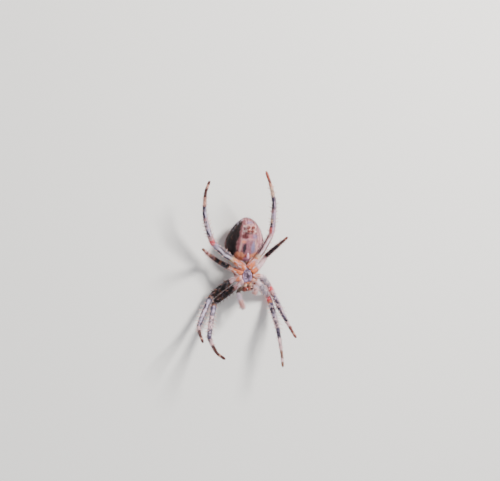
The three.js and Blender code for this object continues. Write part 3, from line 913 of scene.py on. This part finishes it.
# ==== the model ====
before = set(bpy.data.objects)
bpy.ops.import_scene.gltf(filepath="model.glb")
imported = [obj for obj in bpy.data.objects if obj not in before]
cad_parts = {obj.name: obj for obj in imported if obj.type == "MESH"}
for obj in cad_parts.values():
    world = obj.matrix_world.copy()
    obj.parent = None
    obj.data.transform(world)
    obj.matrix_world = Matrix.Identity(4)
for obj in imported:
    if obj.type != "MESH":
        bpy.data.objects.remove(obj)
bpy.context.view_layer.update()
SOLIDS = {name: Solid(name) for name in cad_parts}
CUTICLE = surface("cuticle", 0.5, 0.22, 0.02, specular=0.35, subsurface=0.1)
PLATE = surface("plate", 0.38, 0.18, 0.012, coat=0.15)
SKIN = surface("skin", 0.62, 0.2, 0.03, specular=0.35, subsurface=0.15)
HAIR = surface("hair", 0.55, specular=0.12)
GLOSS = surface("gloss", 0.08, coat=1.0)
HORN = surface("horn", 0.25, coat=0.5)


def lighter(tint, amount, rng):
    """Hair colours: the skin's, towards white, each hair a little different."""
    return mix(tint, WHITE, amount * (0.4 + 0.6 * rng.random(len(tint))))


# ---- legs ----
PATELLA = 0.3  # share of the patella in patella + tibia
METATARSUS = 0.69  # share of the metatarsus in metatarsus + tarsus
LEG_PARTS = {
    "coxa": ([0, 1], [0, 1]),
    "femur": ([0, 1], [1, 2]),
    "tibia": ([0, PATELLA, 1], [2, 3, 4]),
    "tarsus": ([0, METATARSUS, 1], [4, 5, 6]),
}
HAIRS_PER_MM = 300
LONG_HAIRS = 10  # short hairs for each long one
TUFTS, TUFT_HAIRS = 14, 26
TUFT = (226, 208, 196)
# stretch of u, spines on each side, length in mm
SPINES = {
    1: [(1.3, 1.85, 5, 0.55), (2.3, 2.9, 2, 0.65), (3.1, 3.94, 7, 0.8), (4.15, 4.7, 3, 0.5)],
    2: [(1.3, 1.85, 5, 0.55), (2.3, 2.9, 2, 0.65), (3.1, 3.94, 6, 0.75), (4.15, 4.7, 3, 0.45)],
    3: [(1.4, 1.85, 3, 0.45), (2.3, 2.9, 2, 0.45), (3.15, 3.92, 4, 0.5), (4.1, 4.8, 3, 0.45)],
    4: [(1.3, 1.85, 5, 0.55), (2.3, 2.9, 2, 0.55), (3.1, 3.94, 6, 0.65), (4.15, 4.7, 3, 0.45)],
}
FACES = [0.4, math.pi - 0.4, math.pi + 0.4]  # angles of the spines on the other faces
CLAW_AT, CLAW_UV = 0.09, [[0.5, 0.99]]  # a claw's place beside the middle line, and on the UVs


# how much painted shade a femur of the shaded thighs carries, by u
def thigh_shade(limb, u):
    return band(u, 1.1, 1.95, 0.06) * (limb.name in SHADED_THIGHS)


def leg_fur(limb, rng):
    """Short fur, long fine hairs, and white tufts on the coxa and the near end of the femur."""
    coat = Coat(f"coat_{limb.name}", "legs")
    count = int(HAIRS_PER_MM * limb.length)
    place, out, way, u, uv, colours = limb.roots(count, rng)
    # hairs on the painted-shade femurs stay nearly as dark as the skin
    colours = lighter(colours, 0.22 * (1 - thigh_shade(limb, u) * 0.98), rng)
    length = np.interp(u, [0, 1, 2, 4, 6], [0.3, 0.28, 0.24, 0.21, 0.14])
    coat.add(place, out, way, length, 0.019, 22, 0.35, colours, uv, rng)
    place, out, way, u, uv, colours = limb.roots(count // LONG_HAIRS, rng, 0.2, 5.8)
    colours = lighter(colours, 0.6 * (1 - thigh_shade(limb, u) * 0.9), rng)
    length = np.interp(u, [0, 1, 3, 4, 6], [0.5, 0.5, 0.45, 0.36, 0.24])
    coat.add(place, out, way, length, 0.024, 50, 0.35, colours, uv, rng)
    for _ in range(TUFTS):
        place, out, way, _, uv, _ = limb.roots(1, rng, 0.08, 1.12)
        place = place + rng.normal(0, 0.04, (TUFT_HAIRS, 3)) * (1 - np.abs(out))
        place = place + way * rng.normal(0, 0.2, (TUFT_HAIRS, 1))
        out, way, uv = (np.repeat(item, TUFT_HAIRS, 0) for item in (out, way, uv))
        colours = lighter(plain(TUFT, place), 0.8, rng)
        coat.add(place, out, way, 0.44, 0.03, 26, 0.3, colours, uv, rng, spread=0.12)
    coat.make(HAIR)


def leg_spines(limb, rng):
    """Spines in rows along both sides, and a few more on the other faces."""
    spines = Coat(f"spines_{limb.name}", "legs", sides=6, rings=4)

    def colours(u):
        # spines on the painted-shade femurs are darkened with it
        return mix(plain(SPINE, u), UMBER, thigh_shade(limb, u) * 0.75)

    for start, end, count, length in SPINES[int(limb.name[4])]:
        at = np.linspace(start, end, count)
        for sign in (-1, 1):
            row = np.interp(at + rng.normal(0, 0.01, count), limb.u, np.arange(len(limb.u)))
            turn = sign * (math.pi / 2 - 0.25 * (np.arange(count) % 2))
            turn = turn + rng.normal(0, 0.15, count)
            place, out, way, u = limb.ring(row, turn)
            uv = limb.uv(row, turn)
            spines.add(place, out, way, length, 0.17, 66, 0.2, colours(u), uv, rng, spread=0.08)
        more = max(1, count // 2) * 2
        place, out, way, u, uv, _ = limb.roots(more, rng, start, end, FACES)
        spines.add(place, out, way, length * 0.9, 0.15, 56, 0.2, colours(u), uv, rng, spread=0.1)
    spines.make(HAIR)


def leg_claws(limb, rng):
    """Two curved claws at the tip."""
    claws = Coat(f"claws_{limb.name}", "legs", sides=8, rings=6)
    up, way = limb.up[-1:], limb.tangent[-1:]
    for sign in (-1, 1):
        root = limb.spine[-3:-2] + limb.side[-1:] * sign * CLAW_AT
        colour = linear(DARK)[None]
        claws.add(root, up, way, 0.24, 0.08, 30, 0.9, colour, np.array(CLAW_UV), rng, spread=0)
    claws.make(HORN)


def dressed_leg(leg, seed):
    rng = np.random.default_rng(seed)
    nodes = [f"{leg}_{part}" for part in LEG_PARTS]
    breaks = list(LEG_PARTS.values())
    limb = Limb(leg, nodes, breaks, leg_tint(leg), rows=230, sides=28, fullness=0.93)
    skin = limb.skin(CUTICLE, "legs")
    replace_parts(skin, *nodes)
    leg_fur(limb, rng)
    leg_spines(limb, rng)
    leg_claws(limb, rng)


for index, leg in enumerate(LEGS):
    dressed_leg(leg, 100 + index)


# ---- palps ----
PALP_PARTS = {"femur": ([0, 1], [0, 1]), "tibia": ([0, 1], [1, 2]), "tarsus": ([0, 1], [2, 3])}
BRISTLE = (226, 196, 182)


def dressed_palp(side):
    """A palp's skin, with fur, long white hairs and thick bristles."""
    name = f"palp_{side}"
    rng = np.random.default_rng(200 + SIDES[side])
    nodes = [f"{name}_{part}" for part in PALP_PARTS]
    breaks = list(PALP_PARTS.values())
    palp = Limb(name, nodes, breaks, palp_tint(side), rows=90, sides=22, fullness=0.98)
    skin = palp.skin(CUTICLE, "palps")
    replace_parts(skin, *nodes)
    coat = Coat(f"coat_{name}", "palps")
    place, out, way, u, uv, colours = palp.roots(2600, rng)
    colours = lighter(colours, 0.4 * smooth(1.15, 1.4, u), rng)
    coat.add(place, out, way, 0.3, 0.022, 34, 0.4, colours, uv, rng)
    place, out, way, u, uv, colours = palp.roots(400, rng, 1.2, 2.95)
    coat.add(place, out, way, 0.46, 0.03, 50, 0.3, lighter(colours, 0.95, rng), uv, rng)
    place, out, way, u, uv, _ = palp.roots(34, rng, 1.1, 2.9)
    coat.add(place, out, way, 0.55, 0.085, 62, 0.15, plain(BRISTLE, u), uv, rng)
    coat.make(HAIR)


for side in SIDES:
    dressed_palp(side)


# ---- body ----
TAILWARD, HEADWARD, BELLYWARD = (0.05, 1.0, 0.0), (0.1, -1.0, 0.0), (0.0, 0.1, 1.0)
OUTWARD = None  # away from the breastplate's middle
FUR_CURL = 0.35
BLACK, GREY = 0.004, 0.06  # hairs stay dark on skin this dark, not on lighter


def body_piece(name, nodes, tint, material, slot, voxel, passes, depth, relief=0.0):
    """A rounded skin round some nodes; returns what its fur has to know."""
    co, quads, normals = remeshed(name, nodes, voxel, passes, depth)
    if relief:
        co = co + normals * ((fractal(co, 0.6, 21) - 0.5) * 2 * relief)[:, None]
    piece = make_mesh(f"skin_{name}", co, quads, tint(co), material)
    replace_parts(piece, *nodes)
    return slot, tint, co, quads, normals


def furred(name, skin, count, way, length, width, lift, white, seed, density=None):
    """Hairs over a body skin, lying along way; white is the share of white in their colours."""
    slot, tint, co, quads, normals = skin
    rng = np.random.default_rng(seed)
    place, out = scattered(co, quads, normals, count, rng, density)
    q = (place - (co.min(0) + co.max(0)) / 2) / (co.max(0) - co.min(0))
    round_body = np.arctan2(q[:, 0], q[:, 2]) / TURN % 1
    uv = np.stack([round_body, np.clip(q[:, 1] + 0.5, 0, 1)], axis=1)
    colours = tint(place)
    # so hairs over painted shade, such as the left flank's, stay dark as well
    shade = smooth(BLACK, GREY, colours.mean(axis=1))
    colours = lighter(colours, white * (0.1 + 0.9 * shade), rng)
    if way is OUTWARD:
        way = unit(turned(place, 0) * [1, 1, 0])
    coat = Coat(f"coat_{name}", slot)
    coat.add(place, out, way, length, width, lift, FUR_CURL, colours, uv, rng)
    coat.make(HAIR)


def rimward(normals):
    """More hairs where the abdomen turns away from the belly's face."""
    return 0.06 + smooth(0.75, 0.2, normals[:, 2])


def abdomen():
    skin = body_piece("abdomen", ["abdomen"], abdomen_tint, SKIN, "abdomen", 0.075, 8, 0.08, 0.03)
    furred("abdomen", skin, 13500, TAILWARD, 0.22, 0.018, 20, 0.25, 301)
    furred("abdomen_long", skin, 1200, TAILWARD, 0.4, 0.026, 50, 0.75, 307, rimward)


def front_body():
    nodes = ["carapace", "pedicel"]
    skin = body_piece("carapace", nodes, carapace_tint, PLATE, "carapace", 0.06, 5, 0.05)
    furred("carapace", skin, 6000, HEADWARD, 0.26, 0.02, 22, 0.5, 302)
    skin = body_piece("sternum", ["sternum"], sternum_tint, PLATE, "sternum", 0.04, 4, 0.02)
    furred("sternum", skin, 800, OUTWARD, 0.26, 0.018, 25, 0.4, 303)
    body_piece("labium", ["labium"], lip_tint, PLATE, "mouthparts", 0.04, 4, 0.02)


def mouthparts(side):
    name = f"maxilla_{side}"
    skin = body_piece(name, [name], lip_tint, PLATE, "mouthparts", 0.04, 4, 0.02)
    furred(name, skin, 420, HEADWARD, 0.26, 0.022, 40, 0.8, 304)
    name = f"chelicera_{side}"
    skin = body_piece(name, [name], jaw_tint, PLATE, "mouthparts", 0.05, 5, 0.02)
    furred(name, skin, 520, BELLYWARD, 0.3, 0.02, 24, 0.5, 305)


# the epigynum's tongue from its root to its tip: y, z, half width
TONGUE = [
    (2.95, -0.42, 0.14), (3.1, -0.12, 0.27), (3.36, 0.06, 0.29),
    (3.7, 0.12, 0.23), (4.02, 0.1, 0.17), (4.2, 0.04, 0.08),
]
TONGUE_ROWS, TONGUE_SIDES = 60, 20
WRINKLE, WRINKLES = 0.04, 70  # share of the width, and radians over the length
TONGUE_COLOUR = (204, 166, 178)


def epigynum():
    """A low plate with a wrinkled tongue that points to the tail."""
    body_piece("epigynum", ["epigynum"], epigynum_tint, SKIN, "spinnerets", 0.04, 3, 0.05)
    t = np.linspace(0, 1, TONGUE_ROWS)
    at = np.linspace(0, 1, len(TONGUE))
    y, z, width = (np.interp(t, at, line)[:, None] for line in zip(*TONGUE))
    width = width * (1 + WRINKLE * np.sin(t * WRINKLES))[:, None]
    angle = np.arange(TONGUE_SIDES) / TONGUE_SIDES * TURN
    rings = [width * np.cos(angle), y + 0 * angle, z + 0.5 * width * np.sin(angle)]
    co, faces = capped(placed(np.stack(rings, axis=2), TAIL_TURN, WAIST))
    tint = grained(plain(TONGUE_COLOUR, co), co, 0.12, 37, 0.75, 0.5)
    make_mesh("epigynum_tongue", co, faces, tint, SKIN)


def spinnerets():
    name = "spinnerets"
    skin = body_piece(name, [name], spinneret_tint, SKIN, name, 0.045, 4, 0.02)
    furred(name, skin, 1400, TAILWARD, 0.18, 0.02, 45, 0.6, 306)


FANG = (70, 26, 18)
LENS = (18, 12, 12)
LENS_ROWS, LENS_SIDES = 15, 24
POLE = 0.12  # angle between the lens's first ring and its pole
EYES = ("anterior_median", "posterior_median", "anterior_lateral", "posterior_lateral")


def fang(side):
    co, quads, _ = remeshed(f"fang_{side}", [f"fang_{side}"], 0.03, 3, 0.0)
    tint = plain(FANG, co)
    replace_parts(make_mesh(f"skin_fang_{side}", co, quads, tint, HORN), f"fang_{side}")


def eye(node):
    """A glossy ball as large as the eye's solid."""
    low, high = SOLIDS[node].co.min(0), SOLIDS[node].co.max(0)
    lat = np.linspace(POLE, math.pi - POLE, LENS_ROWS)[:, None]
    lon = np.arange(LENS_SIDES) / LENS_SIDES * TURN
    ball = [np.sin(lat) * np.cos(lon), np.sin(lat) * np.sin(lon), -np.cos(lat) + 0 * lon]
    co, faces = capped((low + high) / 2 + np.stack(ball, axis=2) * ((high - low).max() / 2))
    tint = plain(LENS, co)
    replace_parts(make_mesh(node + "_lens", co, faces, tint, GLOSS), node)


abdomen()
front_body()
for side in SIDES:
    mouthparts(side)
epigynum()
spinnerets()
for side in SIDES:
    fang(side)
    for place in EYES:
        eye(f"eye_{place}_{side}")


# ---- floor, light and camera ----
CAMERA_LEAN = math.radians(20)
RIGHT = Vector((math.cos(CAMERA_LEAN), 0, math.sin(CAMERA_LEAN)))
UP = Vector((0, 1, 0))
BACK = RIGHT.cross(UP)
AIM = Vector(CENTRE) + RIGHT * 0.475 + UP * 6.555
DISTANCE = 250  # from the camera to AIM
ACROSS = 95  # width of the picture there
CLIP = (0.005, 10)  # nearest and farthest that the camera sees, in m
SKY, SKY_STRENGTH = (0.86, 0.88, 0.92, 1), 0.42
PAPER, PAPER_ROUGHNESS = (0.92, 0.91, 0.89, 1), 0.8
FLOOR_HALF = 0.6  # half the floor's side, in m


def lamp(name, way, distance, size, watts, colour=(1, 1, 1)):
    """A square soft light that faces the model, way given in the camera's right, up and back."""
    light = bpy.data.lights.new(name, "AREA")
    light.size = size * MM
    light.energy = watts
    light.color = colour
    place = (RIGHT * way[0] + UP * way[1] + BACK * way[2]).normalized() * distance
    obj = added(name, light)
    obj.location = (AIM + place) * MM
    obj.rotation_euler = place.to_track_quat("Z", "Y").to_euler()


lamp("key", (1.0, 0.75, 0.75), distance=300, size=80, watts=1.9, colour=(1.0, 0.97, 0.92))
lamp("fill", (-0.9, -0.2, 1.0), distance=320, size=220, watts=0.12, colour=(0.9, 0.95, 1.0))
lamp("low", (0.3, -1.0, 0.9), distance=300, size=180, watts=0.2)

world = bpy.data.worlds.new("studio")
world.use_nodes = True
dial(world.node_tree.nodes["Background"], Color=SKY, Strength=SKY_STRENGTH)
bpy.context.scene.world = world

floor_mesh = bpy.data.meshes.new("floor")
corners = [(FLOOR_HALF * x, FLOOR_HALF * y, 0) for x, y in ((-1, -1), (1, -1), (1, 1), (-1, 1))]
floor_mesh.from_pydata(corners, [], [(0, 1, 2, 3)])
paper = bpy.data.materials.new("paper")
paper.use_nodes = True
dial(paper.node_tree.nodes["Principled BSDF"], Base_Color=PAPER, Roughness=PAPER_ROUGHNESS)
floor_mesh.materials.append(paper)
floor = added("floor", floor_mesh)

camera_data = bpy.data.cameras.new("camera")
camera_data.angle = 2 * math.atan(ACROSS / 2 / DISTANCE)
camera_data.clip_start, camera_data.clip_end = CLIP
camera = added("camera", camera_data)
facing = Matrix((RIGHT, UP, BACK)).transposed().to_4x4()
camera.matrix_world = Matrix.Translation((AIM + BACK * DISTANCE) * MM) @ facing
bpy.context.scene.camera = camera
